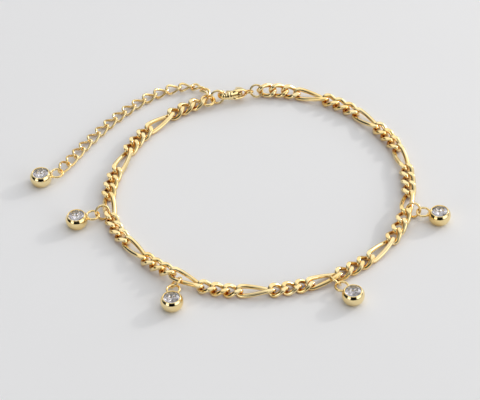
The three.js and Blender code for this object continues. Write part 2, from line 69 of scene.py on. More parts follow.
# The studio: a wide pale matt floor under an even, soft room. Tall windows stand right and left
# of the front, a lamp shines low from the right, and the room is dark along the horizon.
FLOOR_SIZE = 3.0
FLOOR_COLOR = (0.87, 0.87, 0.875, 1)
FLOOR_SHADE = (0.84, 0.835, 0.835, 1)
LAMP_AZIMUTH = 27.0
LAMP_ELEVATION = 22.0
LAMP_DISTANCE = 0.55
LAMP_SIZE = 0.035
LAMP_POWER = 0.62
ROOM_BRIGHTNESS = 0.91
# Each window: azimuth and elevation of its middle, half its width and half its height in degrees,
# how soft its edge is, and its brightness against the room's
WINDOWS = [
    {"azimuth": -32, "elevation": 19, "half_width": 20, "half_height": 12, "edge": 6, "light": 1.3},
    {"azimuth": 226, "elevation": 14, "half_width": 13, "half_height": 11, "edge": 5, "light": 1.8},
    {"azimuth": 34, "elevation": 20, "half_width": 10, "half_height": 12, "edge": 6, "light": 3.0},
    {"azimuth": 90, "elevation": 50, "half_width": 45, "half_height": 14, "edge": 18, "light": 0.35},
    {"azimuth": 60, "elevation": 90, "half_width": 180, "half_height": 14, "edge": 14, "light": 0.35},
]
# What is dark in the room: in front, where the view is taken from, and low on the left
DARK_PLACES = [
    {"azimuth": 268, "elevation": 16, "half_width": 26, "half_height": 18, "edge": 6, "light": 0.01},
    {"azimuth": 168, "elevation": 12, "half_width": 34, "half_height": 22, "edge": 10, "light": 0.08},
]
HORIZON_DARK = 0.03
HORIZON_BAND = 12.0
# The room's tone: its least light, how much is added toward its bright side, and that side's way
ROOM_LEAST_LIGHT = 0.38
ROOM_ADDED_LIGHT = 0.66
BRIGHT_SIDE = (0.8, 0.6)


def plane_mesh(name, size):
    """A square of the given side on z = 0, centred on the origin."""
    half = size / 2
    mesh = bpy.data.meshes.new(name)
    corners = [(-half, -half, 0), (half, -half, 0), (half, half, 0), (-half, half, 0)]
    mesh.from_pydata(corners, [], [(0, 1, 2, 3)])
    return mesh


def add_object(name, mesh, material):
    """Puts a mesh into the scene at the origin, with one material."""
    mesh.materials.append(material)
    made = bpy.data.objects.new(name, mesh)
    bpy.context.scene.collection.objects.link(made)
    return made


def new_material(name):
    """A material and its node tree with the Principled BSDF that a new one holds."""
    material = bpy.data.materials.new(name)
    material.use_nodes = True
    tree = material.node_tree
    return material, tree, tree.nodes["Principled BSDF"]


def feed(tree, socket, value):
    """Links another socket to an input, or sets the input to a number or colour."""
    if isinstance(value, bpy.types.NodeSocket):
        tree.links.new(value, socket)
    else:
        socket.default_value = value


def mixed_tone(tree, factor, first, second):
    """A colour that goes from first to second with a factor, each a socket or a value."""
    node = tree.nodes.new("ShaderNodeMix")
    node.data_type = "RGBA"
    for name, value in (("Factor", factor), ("A", first), ("B", second)):
        feed(tree, node.inputs[name], value)
    return node.outputs["Result"]


def add_bump(tree, shader, height, strength, distance):
    """Gives a shader a bump from a height socket, with its distance in millimetres."""
    bump = tree.nodes.new("ShaderNodeBump")
    bump.inputs["Strength"].default_value = strength
    bump.inputs["Distance"].default_value = distance * MM
    tree.links.new(height, bump.inputs["Height"])
    tree.links.new(bump.outputs["Normal"], shader.inputs["Normal"])


def clouded_material(name, scale, first, second, detail=2.0):
    """A material whose base colour goes between two tones with noise of the given scale in 1/m and
    detail, read from the object's own coordinates, and those coordinates."""
    material, tree, shader = new_material(name)
    place = tree.nodes.new("ShaderNodeTexCoord").outputs["Object"]
    cloud = tree.nodes.new("ShaderNodeTexNoise")
    cloud.inputs["Scale"].default_value = scale
    cloud.inputs["Detail"].default_value = detail
    tree.links.new(place, cloud.inputs["Vector"])
    tone = mixed_tone(tree, cloud.outputs["Fac"], first, second)
    tree.links.new(tone, shader.inputs["Base Color"])
    return material, tree, shader, place


def plaster():
    """Matt pale plaster: two near tones mixed by slow noise, and a fine grain in the bump."""
    material, tree, shader, place = clouded_material("plaster", 9.0, FLOOR_COLOR, FLOOR_SHADE, 3.0)
    grain = tree.nodes.new("ShaderNodeTexNoise")
    grain.inputs["Scale"].default_value = 1800.0
    tree.links.new(place, grain.inputs["Vector"])
    add_bump(tree, shader, grain.outputs["Fac"], 0.06, 0.05)
    shader.inputs["Roughness"].default_value = 0.85
    shader.inputs["Specular IOR Level"].default_value = 0.25
    return material


floor = add_object("floor", plane_mesh("floor", FLOOR_SIZE), plaster())

lamp_data = bpy.data.lights.new("lamp", "AREA")
lamp_data.shape = "DISK"
lamp_data.size = LAMP_SIZE
lamp_data.energy = LAMP_POWER
lamp_data.color = (1.0, 0.97, 0.93)
lamp = bpy.data.objects.new("lamp", lamp_data)
bpy.context.scene.collection.objects.link(lamp)
lamp_turn, lamp_rise = math.radians(LAMP_AZIMUTH), math.radians(LAMP_ELEVATION)
lamp.location = LAMP_DISTANCE * Vector((
    math.cos(lamp_turn) * math.cos(lamp_rise),
    math.sin(lamp_turn) * math.cos(lamp_rise),
    math.sin(lamp_rise),
))
lamp.rotation_mode = "QUATERNION"
lamp.rotation_quaternion = lamp.location.to_track_quat("Z", "Y")


def math_node(tree, operation, *values):
    """One Math node on up to three values, each a socket or a number."""
    node = tree.nodes.new("ShaderNodeMath")
    node.operation = operation
    for socket, value in zip(node.inputs, values):
        feed(tree, socket, value)
    return node.outputs[0]


def smooth_mask(tree, value, start, end):
    """0 where value is at start and 1 where it is at end, with a smooth step between."""
    node = tree.nodes.new("ShaderNodeMapRange")
    node.interpolation_type = "SMOOTHSTEP"
    for socket, source in (("Value", value), ("From Min", start), ("From Max", end)):
        feed(tree, node.inputs[socket], source)
    return node.outputs["Result"]


def room_panel_mask(tree, azimuth, rise, panel):
    """1 inside a panel of the room and 0 outside: the product of a smooth step of the azimuth's
    distance from its middle and of the elevation's."""
    edge = math.radians(panel["edge"])
    turn = math_node(tree, "SUBTRACT", azimuth, math.radians(panel["azimuth"]))
    across = math_node(tree, "ABSOLUTE", math_node(tree, "WRAP", turn, math.pi, -math.pi))
    up = math_node(tree, "ABSOLUTE", math_node(tree, "SUBTRACT", rise, math.radians(panel["elevation"])))
    half_width = math.radians(panel["half_width"])
    half_height = math.radians(panel["half_height"])
    inside = smooth_mask(tree, across, half_width + edge, half_width)
    level = smooth_mask(tree, up, half_height + edge, half_height)
    return math_node(tree, "MULTIPLY", inside, level)


def build_room():
    """The room as light from every direction: an even tone, brighter to the right and behind,
    with the windows added, the dark places taken out, and a dark band along the horizon."""
    world = bpy.data.worlds.new("room")
    bpy.context.scene.world = world
    world.use_nodes = True
    tree = world.node_tree
    direction = tree.nodes.new("ShaderNodeTexCoord").outputs["Object"]
    parts = tree.nodes.new("ShaderNodeSeparateXYZ")
    tree.links.new(direction, parts.inputs[0])
    azimuth = math_node(tree, "ARCTAN2", parts.outputs["Y"], parts.outputs["X"])
    rise = math_node(tree, "ARCSINE", parts.outputs["Z"])
    side = math_node(tree, "ADD", math_node(tree, "MULTIPLY", parts.outputs["X"], BRIGHT_SIDE[0]),
                     math_node(tree, "MULTIPLY", parts.outputs["Y"], BRIGHT_SIDE[1]))
    light = math_node(tree, "MULTIPLY", smooth_mask(tree, side, -1.0, 1.0), ROOM_ADDED_LIGHT)
    light = math_node(tree, "ADD", light, ROOM_LEAST_LIGHT)
    for window in WINDOWS:
        mask = room_panel_mask(tree, azimuth, rise, window)
        light = math_node(tree, "ADD", light, math_node(tree, "MULTIPLY", mask, window["light"]))
    for place in DARK_PLACES:
        mask = room_panel_mask(tree, azimuth, rise, place)
        keep = math_node(tree, "SUBTRACT", 1.0, math_node(tree, "MULTIPLY", mask, 1 - place["light"]))
        light = math_node(tree, "MULTIPLY", light, keep)
    band = smooth_mask(tree, rise, 0.0, math.radians(HORIZON_BAND))
    band = math_node(tree, "ADD", math_node(tree, "MULTIPLY", band, 1 - HORIZON_DARK), HORIZON_DARK)
    light = math_node(tree, "MULTIPLY", light, band)
    background = tree.nodes["Background"]
    tint = tree.nodes.new("ShaderNodeVectorMath")
    tint.operation = "SCALE"
    tint.inputs[0].default_value = (0.985, 0.99, 1.0)
    tree.links.new(light, tint.inputs["Scale"])
    tree.links.new(tint.outputs[0], background.inputs["Color"])
    background.inputs["Strength"].default_value = ROOM_BRIGHTNESS


build_room()
bpy.context.scene.view_settings.view_transform = "Standard"

# The gold: brass plated with pale yellow gold and polished bright. The polish is not even: it has
# a slow waviness, faint rubbing marks, and plating that runs a little redder in places.
GOLD_PALE = (0.97, 0.79, 0.43, 1)
GOLD_WARM = (0.95, 0.70, 0.30, 1)
# Deep orange painted into the hollows between links: painted shade standing for light bounced from gold to
# gold, and in part plate that the buffing wheel doesn't reach
GOLD_HOLLOW_SHADE_AND_DULL = (0.72, 0.33, 0.06, 1)
# How far the painted shade of a hollow reaches, and the open shares of the view at which it starts and is
# full
HOLLOW_SHADE_REACH = 1.3
HOLLOW_SHADE_STARTS = 0.72
HOLLOW_SHADE_FULL = 0.2


def polish_group():
    """Polished metal's small unevenness, for every gold piece. Grain is the noise's scale in
    1/m, Smoothest and Roughest bound the roughness. Tone is a mask for colour, Height a relief."""
    group = bpy.data.node_groups.new("polish", "ShaderNodeTree")
    for name, value in (("Grain", 900.0), ("Smoothest", 0.05), ("Roughest", 0.16)):
        socket = group.interface.new_socket(name=name, in_out="INPUT", socket_type="NodeSocketFloat")
        socket.default_value = value
    for name in ("Tone", "Roughness", "Height"):
        group.interface.new_socket(name=name, in_out="OUTPUT", socket_type="NodeSocketFloat")
    given = group.nodes.new("NodeGroupInput")
    result = group.nodes.new("NodeGroupOutput")
    place = group.nodes.new("ShaderNodeTexCoord").outputs["Object"]

    def noise(scale, detail):
        node = group.nodes.new("ShaderNodeTexNoise")
        node.inputs["Detail"].default_value = detail
        group.links.new(place, node.inputs["Vector"])
        group.links.new(scale, node.inputs["Scale"])
        return node.outputs["Fac"]

    slow = noise(math_node(group, "MULTIPLY", given.outputs["Grain"], 0.35), 1.0)
    marks = noise(math_node(group, "MULTIPLY", given.outputs["Grain"], 3.0), 3.0)
    span = math_node(group, "SUBTRACT", given.outputs["Roughest"], given.outputs["Smoothest"])
    rough = math_node(group, "ADD", math_node(group, "MULTIPLY", marks, span), given.outputs["Smoothest"])
    relief = math_node(group, "ADD", slow, math_node(group, "MULTIPLY", marks, 0.25))
    group.links.new(smooth_mask(group, slow, 0.35, 0.7), result.inputs["Tone"])
    group.links.new(rough, result.inputs["Roughness"])
    group.links.new(relief, result.inputs["Height"])
    return group


POLISH = polish_group()


def gold_material(name, grain, smoothest, roughest, relief, hollow=0.0):
    """Polished gold plate: a metal whose colour goes from pale to warm with the polish's tone, and to a
    deep orange, by the share hollow, where other pieces close it in. That orange is painted shade of the
    hollows between links, and in part plate that the buffing wheel doesn't reach."""
    material, tree, shader = new_material(name)
    polish = tree.nodes.new("ShaderNodeGroup")
    polish.node_tree = POLISH
    polish.inputs["Grain"].default_value = grain
    polish.inputs["Smoothest"].default_value = smoothest
    polish.inputs["Roughest"].default_value = roughest
    tone = mixed_tone(tree, polish.outputs["Tone"], GOLD_PALE, GOLD_WARM)
    open_air = tree.nodes.new("ShaderNodeAmbientOcclusion")
    open_air.samples = 6
    open_air.inputs["Distance"].default_value = HOLLOW_SHADE_REACH * MM
    # Painted shade: the colour turns deep orange where ambient occlusion finds the view closed in, as
    # between links
    hollow_shade_mask = smooth_mask(tree, open_air.outputs["AO"], HOLLOW_SHADE_STARTS, HOLLOW_SHADE_FULL)
    tone = mixed_tone(tree, math_node(tree, "MULTIPLY", hollow_shade_mask, hollow), tone, GOLD_HOLLOW_SHADE_AND_DULL)
    tree.links.new(tone, shader.inputs["Base Color"])
    tree.links.new(polish.outputs["Roughness"], shader.inputs["Roughness"])
    add_bump(tree, shader, polish.outputs["Height"], 0.3, relief)
    shader.inputs["Metallic"].default_value = 1.0
    return material


# The main chain: figaro links of one wire, three short and one long in turn, each bent to a long
# round shape, twisted so that it lies flat on its neighbours, and then pressed and cut flat on top.
CHAIN_WIRE = 1.05
SHORT_LINK_LENGTH = 5.0
SHORT_LINK_WIDTH = 3.6
LONG_LINK_LENGTH = 9.4
LONG_LINK_WIDTH = 3.3
LONG_LINKS = 12
SHORT_LINKS_IN_A_GROUP = 3
LINK_TWIST = 45.0
WIRE_ACROSS = 1.14
WIRE_OVER = 1.04
WIRE_POWER = 1.75
CUT_HEIGHT = 1.06
FOOT_HEIGHT = 1.2
# The links by the clasp that lean more than this were missed by the cutter
LEAST_LEAN_UNCUT = 30
SOLDERED_OVERLAP = 0.12
RING_GAP = 0.12
HOOK_GAP = 0.32
HALVES_GAP = 0.3
CHAIN_HALVES_MEET_AFTER = 6
CHAIN_AROUND = 72
WIRE_AROUND = 20
UP = np.array([0.0, 0.0, 1.0])
# Where the route's origin lies in the frame
ROUTE_ORIGIN = np.array([0.521, -2.841, 0.0])
# The loop's route on the table, clockwise from the clasp's hook
LOOP_ROUTE = np.array([
    [-2.9, 36.2, 0], [1.0, 36.9, 0], [5.0, 37.2, 0], [8.7, 37.2, 0], [12.5, 36.8, 0], [19.8, 34.4, 0],
    [26.5, 30.0, 0], [32.1, 23.9, 0], [36.4, 17.3, 0], [38.8, 9.6, 0], [39.3, 1.9, 0], [38.3, -6.7, 0],
    [35.6, -14.0, 0], [30.8, -20.5, 0], [24.4, -25.4, 0], [16.8, -28.9, 0], [8.4, -30.7, 0],
    [1.2, -30.7, 0], [-7.0, -29.3, 0], [-13.9, -25.9, 0], [-20.0, -20.8, 0], [-24.9, -14.5, 0],
    [-29.0, -7.6, 0], [-30.6, 0.0, 0], [-30.1, 7.5, 0], [-27.3, 15.2, 0], [-23.7, 22.6, 0],
    [-18.5, 28.5, 0], [-12.2, 33.0, 0], [-7.8, 34.8, 0],
])
# Heights and leans of the pieces by the clasp, and how far the chain rides over a charm's ring
HOOK_HEIGHT = 2.15
EYE_HEIGHT = 1.84
CLASP_RING_FAR_HEIGHT = 1.92
END_RING_HEIGHT = 1.46
CLASP_END_LINKS = [(61, 0.7), (42, 0.55), (21, 0.38)]
RING_END_LINKS = [(-8, 0.26), (-5, 0.16), (-3, 0.07)]
RIDE_OVER_RING = 1.02
RIDDEN_LINKS = (4, 8)
# Rings: the diameter over the wire, the wire, and the lean
END_RING = {"across": 3.8, "wire": 0.65, "lean": 8}
CATCH_RING = {"across": 3.8, "wire": 0.55, "lean": 73}
CLASP_RING = {"across": 3.4, "wire": 0.5, "lean": 52}
# The clasp's length from the hook's inner wall to the far side of its eye's hole
CLASP_BODY_LENGTH = 7.3
CLASP_WALL = 0.95
CLASP_EYE_HOLE = 1.3
CLASP_SPAN = CLASP_BODY_LENGTH + CLASP_EYE_HOLE - CLASP_WALL


def unit(vectors):
    """Each vector divided by its own length."""
    return vectors / np.linalg.norm(vectors, axis=-1, keepdims=True)


def route_points(chosen, closed, t):
    """The smooth route at t from 0 to 1. Between two chosen points it is the cubic with Hermite
    ends whose slopes weigh the steps on each side by the square roots of their lengths."""
    if closed:
        points = np.vstack([chosen[-1:], chosen, chosen[:2]])
    else:
        points = np.vstack([2 * chosen[0] - chosen[1], chosen, 2 * chosen[-1] - chosen[-2]])
    spans = len(points) - 3
    step = np.minimum(np.floor(t * spans).astype(int), spans - 1)
    w = (t * spans - step)[:, None]
    before, start, end, after = (points[step + k] for k in range(4))
    d0, d1, d2 = (
        np.sqrt(np.linalg.norm(b - a, axis=1))[:, None]
        for a, b in ((before, start), (start, end), (end, after))
    )
    slope_in = d1 * ((start - before) / d0 - (end - before) / (d0 + d1) + (end - start) / d1)
    slope_out = d1 * ((end - start) / d1 - (after - start) / (d1 + d2) + (after - end) / d2)
    second = 3 * (end - start) - 2 * slope_in - slope_out
    third = 2 * (start - end) + slope_in + slope_out
    return start + slope_in * w + second * w**2 + third * w**3


def spread_route(chosen, closed, length, distances):
    """The route scaled to a length, at distances along it, and the scale. Its length is summed
    over 2000 even steps of t, and t is read off that sum."""
    t = np.linspace(0, 1, 2001)
    line = route_points(chosen, closed, t)
    summed = np.concatenate([[0.0], np.cumsum(np.linalg.norm(np.diff(line, axis=0), axis=1))])
    spread = length / summed[-1]
    shares = np.asarray(distances) / length
    if closed:
        shares = shares % 1.0
    return spread * route_points(chosen, closed, np.interp(shares * summed[-1], summed, t)), spread


def frames_along(starts, ends, leans):
    """A frame for each stretch: its middle, and axes with X along it, Y outward (up cross X)
    turned about X by the lean, and Z their cross product, as the columns of a matrix."""
    along = unit(ends - starts)
    outward = unit(np.cross(UP, along))
    over = np.cross(along, outward)
    lean = np.radians(np.asarray(leans, float))[:, None]
    leaned = np.cos(lean) * outward + np.sin(lean) * over
    return (starts + ends) / 2, np.stack([along, leaned, np.cross(along, leaned)], axis=-1)


def link_shape(length, width, wire, twist=LINK_TWIST):
    """The wire's centre line: half its length and width, and reach, half the free length inside."""
    half_length = (length - wire) / 2
    return {
        "half_length": half_length, "half_width": (width - wire) / 2, "wire": wire,
        "twist": twist, "reach": half_length - wire / 2,
    }


def ring_shape(ring):
    """A ring is a link as long as it is wide, with no twist."""
    return link_shape(ring["across"], ring["across"], ring["wire"], 0.0)


def link_point(shape, x, w):
    """The point at x along a link and w across it, twisted about X by -twist * x / reach, and the
    normal of the link's own plane there."""
    turn = np.radians(-shape["twist"] * x / shape["reach"])
    centre = np.stack([x, w * np.cos(turn), w * np.sin(turn)], axis=-1)
    normal = np.stack([np.zeros_like(turn), -np.sin(turn), np.cos(turn)], axis=-1)
    return centre, normal


def stadium(shape, count):
    """count points round a long round outline, evenly along it: two half circles of radius
    half_width joined by straights."""
    radius = shape["half_width"]
    straight = shape["half_length"] - radius
    arc = math.pi * radius
    s = np.arange(count) / count * (2 * arc + 4 * straight)
    second = s >= arc + 2 * straight
    s = np.where(second, s - arc - 2 * straight, s)
    angle = np.minimum(s, arc) / radius - math.pi / 2
    x = straight + radius * np.cos(angle) - np.maximum(s - arc, 0)
    w = radius * np.sin(angle)
    side = np.where(second, -1.0, 1.0)
    return side * x, side * w


def swept_loop(centres, normals, section):
    """A closed tube. Along is the difference of the centres before and after, across is along
    cross normal, and each section point (a, b) lies at centre + a across + b over."""
    along = unit(np.roll(centres, -1, axis=0) - np.roll(centres, 1, axis=0))
    across = unit(np.cross(along, normals))
    over = np.cross(across, along)
    a = section[..., 0, None]
    b = section[..., 1, None]
    return centres[:, None] + a * across[:, None] + b * over[:, None]


def wire_section(across, over, count, power=2.0):
    """A rounded section: a superellipse of the given full sizes and power."""
    angle = 2 * math.pi * np.arange(count) / count
    c, s = np.cos(angle), np.sin(angle)
    radius = (np.abs(c) ** power + np.abs(s) ** power) ** (-1 / power)
    return np.stack([radius * c * across / 2, radius * s * over / 2], axis=-1)


def tube_faces(rings, sides, copies):
    """Quads of copies of a closed tube of rings x sides points, with their faces out."""
    i = np.arange(rings)[:, None]
    k = np.arange(sides)[None, :]
    a = i * sides + k
    b = i * sides + (k + 1) % sides
    c = (i + 1) % rings * sides + (k + 1) % sides
    d = (i + 1) % rings * sides + k
    one = np.stack([a, d, c, b], axis=-1).reshape(-1, 4)
    shift = np.arange(copies)[:, None, None] * rings * sides
    return (one[None] + shift).reshape(-1, 4)


def surface_piece(name, points, faces, material, crease=None):
    """A piece from points in millimetres in the route's own place and a list of faces, smooth,
    with edges sharper than the crease angle left sharp."""
    mesh = bpy.data.meshes.new(name)
    placed = (points.reshape(-1, 3) + ROUTE_ORIGIN) * MM
    mesh.from_pydata(placed.tolist(), [], faces.tolist() if isinstance(faces, np.ndarray) else faces)
    mesh.polygons.foreach_set("use_smooth", np.ones(len(mesh.polygons), bool))
    mesh.update()
    if crease is not None:
        mesh.set_sharp_from_angle(angle=math.radians(crease))
    return add_object(name, mesh, material)


def rest_height(shape):
    """The height of a flat link's middle above the table: half its wire more than the depth of
    its wire's lowest centre."""
    straight = shape["half_length"] - shape["half_width"]
    turn = math.pi * (np.arange(5) / 4 - 0.5)
    x = straight + shape["half_width"] * np.cos(turn)
    centre, _ = link_point(shape, x, shape["half_width"] * np.sin(turn))
    return shape["wire"] / 2 + abs(centre[:, 2]).max()


SHORT_LINK = link_shape(SHORT_LINK_LENGTH, SHORT_LINK_WIDTH, CHAIN_WIRE)
LONG_LINK = link_shape(LONG_LINK_LENGTH, LONG_LINK_WIDTH, CHAIN_WIRE)
CHAIN_HEIGHT = max(rest_height(SHORT_LINK), rest_height(LONG_LINK))


def loop_items():
    """The loop's items in order from the clasp, each with its free length, lean and the heights
    of its ends. Links near the ends lean and rise, and the chain rides over two charms' rings."""
    def ring(kind, sizes, start_height, end_height):
        return {"kind": kind, "span": 2 * ring_shape(sizes)["reach"], "lean": sizes["lean"],
                "heights": [start_height, end_height]}

    items = [
        {"kind": "clasp", "span": CLASP_SPAN, "lean": 0, "heights": [HOOK_HEIGHT, EYE_HEIGHT]},
        ring("clasp_ring", CLASP_RING, EYE_HEIGHT, CLASP_RING_FAR_HEIGHT),
    ]
    clasp_end = CLASP_END_LINKS + [(0, 0)]
    ring_end = RING_END_LINKS + [(0, 0)]
    for group in range(LONG_LINKS + 1):
        if group > 0:
            half = "chain_right" if group <= CHAIN_HALVES_MEET_AFTER else "chain_left"
            items.append({"kind": "long", "number": group, "half": half, "lean": 0,
                          "span": 2 * LONG_LINK["reach"], "heights": [CHAIN_HEIGHT] * 2})
        half = "chain_right" if group < CHAIN_HALVES_MEET_AFTER else "chain_left"
        for i in range(SHORT_LINKS_IN_A_GROUP):
            link = {"kind": "short", "half": half, "lean": 0, "span": 2 * SHORT_LINK["reach"],
                    "heights": [CHAIN_HEIGHT] * 2}
            from_end = SHORT_LINKS_IN_A_GROUP - 1 - i
            if group == 0:
                link["lean"] = clasp_end[i][0]
                link["heights"] = [CHAIN_HEIGHT + clasp_end[k][1] for k in (i, i + 1)]
            if group == LONG_LINKS:
                link["lean"] = ring_end[from_end][0]
                link["heights"] = [CHAIN_HEIGHT + ring_end[k][1] for k in (from_end + 1, from_end)]
            items.append(link)
    items.append(ring("end_ring", END_RING, END_RING_HEIGHT, END_RING_HEIGHT))
    items.append(ring("catch_ring", CATCH_RING, END_RING_HEIGHT, HOOK_HEIGHT))
    steps = SHORT_LINKS_IN_A_GROUP
    for ridden in RIDDEN_LINKS:
        index = next(i for i, item in enumerate(items) if item.get("number") == ridden)
        items[index]["heights"] = [CHAIN_HEIGHT, CHAIN_HEIGHT + RIDE_OVER_RING]
        for i in range(1, steps + 1):
            items[index + i]["heights"] = [
                CHAIN_HEIGHT + RIDE_OVER_RING * (1 - (i - 1) / steps),
                CHAIN_HEIGHT + RIDE_OVER_RING * (1 - i / steps),
            ]
    return items


def bearing(item, after):
    """Two links of one half are soldered where they bear, and any other pair keeps a gap."""
    if item.get("half") and after.get("half"):
        return SOLDERED_OVERLAP if item["half"] == after["half"] else -HALVES_GAP
    return -HOOK_GAP if item["kind"] == "catch_ring" else -RING_GAP


def walk_loop():
    """Each item's middle and axes on the loop: item after item along the route, which is spread
    to the length that they need."""
    items = loop_items()
    starts = []
    length = 0.0
    for item, after in zip(items, items[1:] + items[:1]):
        starts.append(length)
        length += item["span"] + bearing(item, after)
    spans = np.array([item["span"] for item in items])
    begin, _ = spread_route(LOOP_ROUTE, True, length, starts)
    finish, _ = spread_route(LOOP_ROUTE, True, length, starts + spans)
    heights = np.array([item["heights"] for item in items])
    begin[:, 2], finish[:, 2] = heights[:, 0], heights[:, 1]
    middles, axes = frames_along(begin, finish, [item["lean"] for item in items])
    for item, middle, matrix in zip(items, middles, axes):
        item.update(middle=middle, axes=matrix)
    return items


def links_in_place(shape, middles, axes, section, steps, cut=None):
    """Copies of one link as points, link by link. The link's top is cut flat at cut[0] and its
    foot at -cut[1], and then each copy is turned by its axes and moved to its middle."""
    x, w = stadium(shape, steps)
    centre, normal = link_point(shape, x, w)
    tube = swept_loop(centre, normal, section[None])
    if cut:
        tube[..., 2] = np.clip(tube[..., 2], -cut[1], cut[0])
    return np.einsum("nij,rsj->nrsi", np.asarray(axes), tube) + np.asarray(middles)[:, None, None]


LOOP = walk_loop()
CHAIN_GOLD = gold_material("chain gold", 700.0, 0.03, 0.09, 0.01, hollow=0.9)
for half in ("chain_right", "chain_left"):
    section = wire_section(WIRE_ACROSS, WIRE_OVER, WIRE_AROUND, WIRE_POWER)
    tubes = []
    own = [item for item in LOOP if item.get("half") == half]
    flat = [item for item in own if item["lean"] < LEAST_LEAN_UNCUT]
    leaned = [item for item in own if item["lean"] >= LEAST_LEAN_UNCUT]
    for chosen, kind, shape, cut in (
        (flat, "short", SHORT_LINK, (CUT_HEIGHT, FOOT_HEIGHT)),
        (flat, "long", LONG_LINK, (CUT_HEIGHT, FOOT_HEIGHT)),
        (leaned, "short", SHORT_LINK, None),
    ):
        links = [item for item in chosen if item["kind"] == kind]
        if links:
            middles, axes = [link["middle"] for link in links], [link["axes"] for link in links]
            tubes.append(links_in_place(shape, middles, axes, section, CHAIN_AROUND, cut))
    points = np.concatenate(tubes)
    faces = tube_faces(CHAIN_AROUND, WIRE_AROUND, len(points))
    chain = surface_piece(half + "_links", points, faces, CHAIN_GOLD, crease=38)
    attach(chain, "anklet")
    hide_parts(half)

# The rings by the clasp: round wire bent into a ring and pressed shut. The end ring joins the
# chain's left end, the extension and the catch ring, and the clasp hooks the catch ring.
RING_AROUND = 72
RING_SIDES = 18
RING_FULLNESS = 1.12
RING_GOLD = gold_material("ring gold", 1100.0, 0.04, 0.1, 0.008, hollow=0.6)


def ring_piece(name, sizes, middle, axes, node):
    """A ring of round wire in the plane of its first two axes."""
    shape = ring_shape(sizes)
    section = wire_section(RING_FULLNESS * sizes["wire"], RING_FULLNESS * sizes["wire"], RING_SIDES)
    points = links_in_place(shape, [middle], [axes], section, RING_AROUND)
    made = surface_piece(name, points, tube_faces(RING_AROUND, RING_SIDES, 1), RING_GOLD)
    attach(made, "anklet")
    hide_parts(node)


for node, sizes in (("end_ring", END_RING), ("catch_ring", CATCH_RING), ("clasp_ring", CLASP_RING)):
    item = next(item for item in LOOP if item["kind"] == node)
    ring_piece(node + "_wire", sizes, item["middle"], item["axes"], node)

# The extension: a light chain of sixteen twisted links of thin wire, linked into the end ring. It
# lies in a curve outside the loop and ends at the first charm.
EXTENSION_WIRE = 0.6
EXTENSION_WIDTH = 2.9
EXTENSION_LINK_LENGTH = 4.33
EXTENSION_LINKS = 16
EXTENSION_HEIGHT = 1.0
EXTENSION_ENDS = [(46, 0.74), (30, 0.45), (15, 0.2)]
EXTENSION_AROUND = 56
EXTENSION_SIDES = 14
SOLDERED_RING = {"across": 3.4, "wire": 0.5}
EXTENSION_ROUTE = np.array([
    [-6.0, 34.9, 0], [-6.3, 38.1, 0], [-8.2, 40.1, 0], [-11.0, 40.9, 0], [-14.0, 40.6, 0],
    [-19.4, 38.4, 0], [-24.9, 34.2, 0], [-29.1, 30.1, 0], [-33.0, 25.3, 0], [-36.5, 20.7, 0],
    [-39.0, 16.4, 0], [-42.0, 12.3, 0],
])


def walk_extension():
    """The extension's links from the end ring outward, and the middle of the last ring that they
    reach. The links near either end lean and rise, with a lean the other way at the far end."""
    shape = link_shape(EXTENSION_LINK_LENGTH, EXTENSION_WIDTH, EXTENSION_WIRE)
    first = ring_shape(END_RING)["reach"] - RING_GAP
    pitch = 2 * shape["reach"] + SOLDERED_OVERLAP
    last = first + EXTENSION_LINKS * pitch - SOLDERED_OVERLAP
    length = last - RING_GAP + ring_shape(SOLDERED_RING)["reach"]
    starts = first + pitch * np.arange(EXTENSION_LINKS)
    begin, spread = spread_route(EXTENSION_ROUTE, False, length, starts)
    finish, _ = spread_route(EXTENSION_ROUTE, False, length, starts + 2 * shape["reach"])
    far, _ = spread_route(EXTENSION_ROUTE, False, length, [length])
    ring_middle = next(item for item in LOOP if item["kind"] == "end_ring")["middle"]
    shift = ring_middle * (1, 1, 0) - spread * EXTENSION_ROUTE[0]
    begin, finish, far = begin + shift, finish + shift, far + shift
    leans = np.zeros(EXTENSION_LINKS)
    rises = np.zeros(EXTENSION_LINKS + 1)
    for i, (lean, rise) in enumerate(EXTENSION_ENDS):
        leans[i] += lean
        leans[-1 - i] -= lean
        rises[i] = rises[-1 - i] = rise
    begin[:, 2] = EXTENSION_HEIGHT + rises[:-1]
    finish[:, 2] = EXTENSION_HEIGHT + rises[1:]
    middles, axes = frames_along(begin, finish, leans)
    return shape, middles, axes, far[0]


EXTENSION_SHAPE, extension_middles, extension_axes, FIRST_CHARM_RING = walk_extension()
section = wire_section(EXTENSION_WIRE, EXTENSION_WIRE, EXTENSION_SIDES)
points = links_in_place(EXTENSION_SHAPE, extension_middles, extension_axes, section, EXTENSION_AROUND)
faces = tube_faces(EXTENSION_AROUND, EXTENSION_SIDES, EXTENSION_LINKS)
extension = surface_piece("extension_links", points, faces, RING_GOLD)
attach(extension, "anklet")
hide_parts("extension_chain")

# The charms: on the chain a jump ring round the outer wire of a long link holds the ring that is
# soldered to a cup's side. Each cup is a ball turned flat at its foot and open at its mouth.
CHARM_RING = {"across": 3.7, "wire": 0.5}
CUP_DIAMETER = 5.25
CUP_HEIGHT = 3.2
CUP_FOOT_DIAMETER = 3.7
STONE_DIAMETER = 3.9
CUP_SHOULDER = 1.8
CUP_LIP = 0.1
SOLDER_DEPTH = 0.3
SOLDERED_RING_HEIGHT = 1.54
FIRST_CHARM_DIRECTION = 199.0
